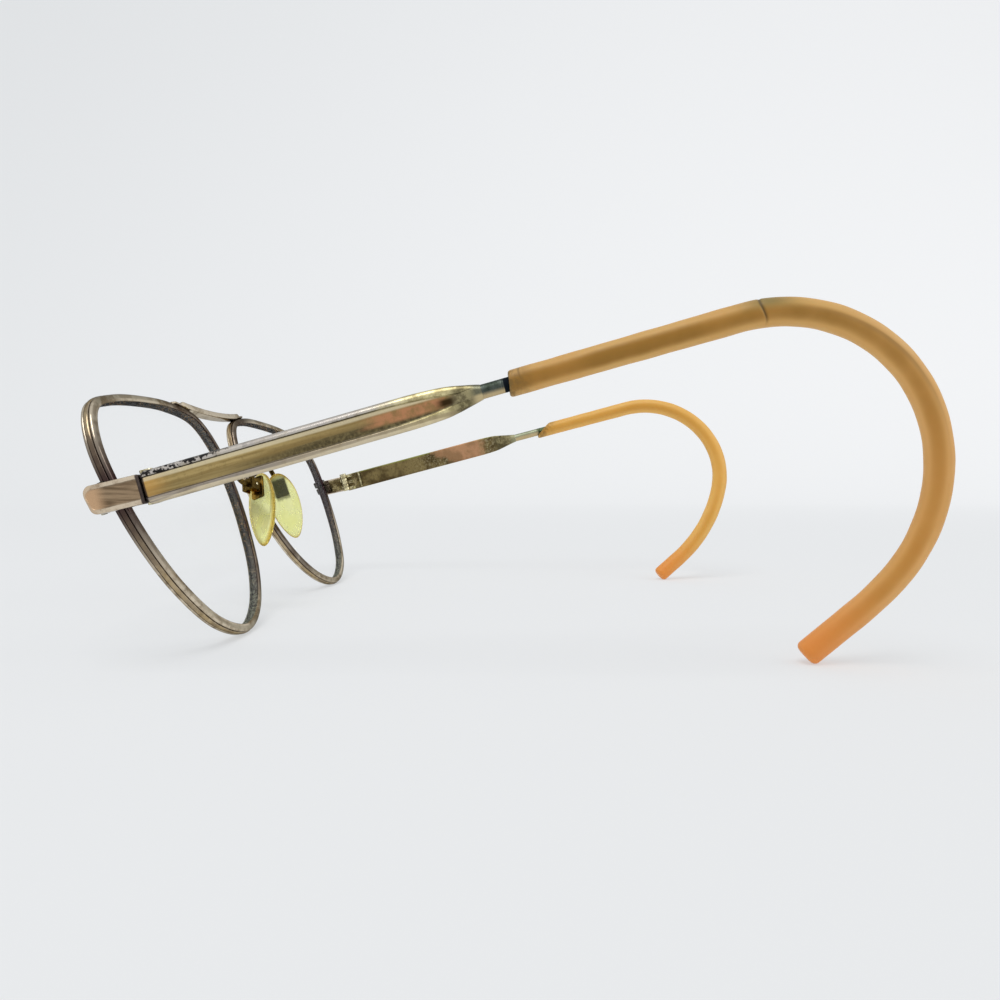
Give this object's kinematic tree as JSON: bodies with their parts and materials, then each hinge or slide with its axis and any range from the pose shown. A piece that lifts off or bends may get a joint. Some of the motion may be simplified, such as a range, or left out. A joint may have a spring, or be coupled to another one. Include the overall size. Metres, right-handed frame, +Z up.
{
  "type": "aviator eyeglasses",
  "caption": "Aviator eyeglasses with thin channelled rims, double bridge, hinged flat temple bars and cable temples that hook behind the ears, on rocking nose pads.",
  "frame": {"origin": "middle of the floor rectangle that the standing glasses cover", "axes": "-Y to the front of the lenses, +Y along the temples, +X to the wearer's left, +Z up"},
  "size_m": [0.1264, 0.137, 0.0544],
  "materials": {
    "rim_metal": "worn gold-filled nickel silver, tarnished in the channel",
    "lens_glass": "clear, untinted",
    "bridge_metal": "worn cream gold over nickel silver",
    "lock_metal": "blackened",
    "screw_metal": "bright, slotted heads",
    "endpiece_metal": "cream to rose silver with a recessed panel",
    "hinge_metal": "olive tarnish, bright barrels",
    "pad_metal": "tarnished",
    "pad_plastic": "translucent, yellowed",
    "temple_gold": "framed panel, worn bevels",
    "cable_wire": "wound wire with green patina",
    "sleeve_plastic": "translucent amber tube"
  },
  "bodies": {
    "front": {"rim_left": "rim_metal", "rim_right": "rim_metal", "lens_left": "lens_glass", "lens_right": "lens_glass", "brow_bar": "bridge_metal", "bridge": "bridge_metal", "rim_clamp_upper_left": "lock_metal", "rim_clamp_upper_right": "lock_metal", "rim_clamp_lower_left": "lock_metal", "rim_clamp_lower_right": "lock_metal", "clamp_screw_left": "screw_metal", "clamp_screw_right": "screw_metal", "endpiece_left": "endpiece_metal", "endpiece_right": "endpiece_metal", "hinge_leaf_front_left": "hinge_metal", "hinge_leaf_front_right": "hinge_metal", "hinge_screw_left": "screw_metal", "hinge_screw_right": "screw_metal", "pad_arm_left": "pad_metal", "pad_arm_right": "pad_metal", "pad_box_left": "pad_metal", "pad_box_right": "pad_metal", "pad_pin_left": "screw_metal", "pad_pin_right": "screw_metal"},
    "temple_left": {"hinge_leaf_temple_left": "hinge_metal", "temple_bar_left": "temple_gold", "cable_left": "cable_wire", "sleeve_left": "sleeve_plastic"},
    "pad_left": {"nose_pad_left": "pad_plastic", "pad_mount_left": "pad_metal"},
    "temple_right": {"hinge_leaf_temple_right": "hinge_metal", "temple_bar_right": "temple_gold", "cable_right": "cable_wire", "sleeve_right": "sleeve_plastic"},
    "pad_right": {"nose_pad_right": "pad_plastic", "pad_mount_right": "pad_metal"}
  },
  "joints": [
    {"name": "temple_left_fold", "type": "hinge", "parent": "front", "child": "temple_left", "pos_m": [0.05955, -0.0504, 0.02722], "axis": [0.0349, -0.2654, 0.9635], "range_deg": [0, 83]},
    {"name": "temple_right_fold", "type": "hinge", "parent": "front", "child": "temple_right", "pos_m": [-0.05955, -0.0504, 0.02722], "axis": [-0.0349, 0.2654, -0.9635], "range_deg": [0, 83]},
    {"name": "pad_left_rock", "type": "hinge", "parent": "front", "child": "pad_left", "pos_m": [0.0087, -0.05414, 0.02708], "axis": [0.3473, 0.8823, 0.3177], "range_deg": [-8, 8]},
    {"name": "pad_right_rock", "type": "hinge", "parent": "front", "child": "pad_right", "pos_m": [-0.0087, -0.05414, 0.02708], "axis": [-0.3473, 0.8823, 0.3177], "range_deg": [-8, 8]}
  ]
}
